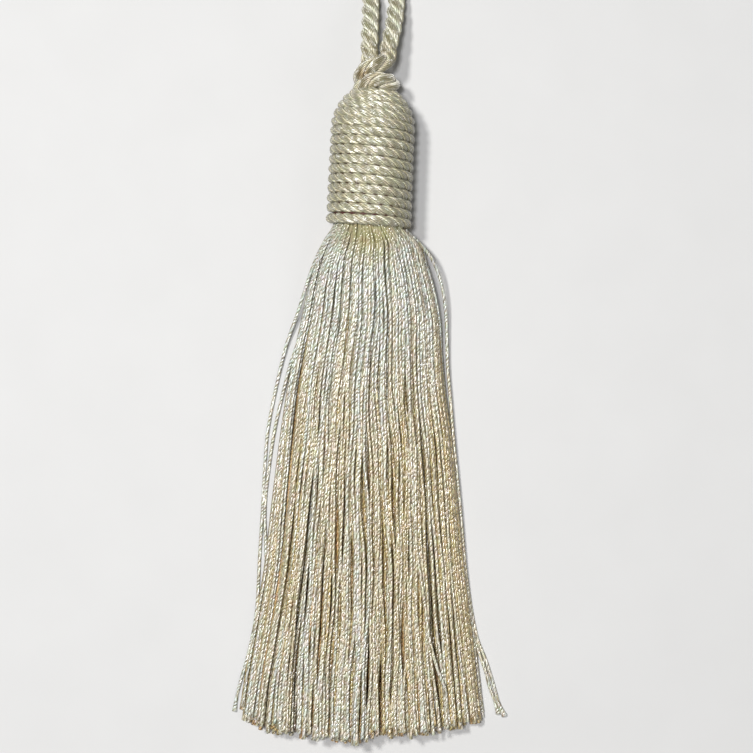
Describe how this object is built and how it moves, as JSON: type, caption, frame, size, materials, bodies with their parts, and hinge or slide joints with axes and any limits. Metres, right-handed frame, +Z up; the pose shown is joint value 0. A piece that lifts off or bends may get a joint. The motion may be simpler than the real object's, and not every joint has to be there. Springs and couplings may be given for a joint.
{
  "type": "silk tassel",
  "caption": "Silk tassel with a cord-wound bullet head, a knotted neck, a twisted hanging loop and a long full thread skirt, lying on its back.",
  "frame": {"origin": "on the surface, at the middle of the flat spot under the wound head", "axes": "+Y along the tassel from the skirt to the hanging loop, +Z up from the surface, +X across"},
  "size_m": [0.0617, 0.2284, 0.0189],
  "materials": {
    "head_silk": "wound twisted silk cord, lustrous olive cream",
    "cord_silk": "three-strand twisted silk cord, lustrous cream",
    "skirt_silk": "two-ply twisted silk threads, pearly ivory with golden shade"
  },
  "bodies": {
    "root": {"wound_head": "head_silk", "neck_knot": "cord_silk", "hanging_loop": "cord_silk", "thread_skirt": "skirt_silk"}
  },
  "joints": []
}
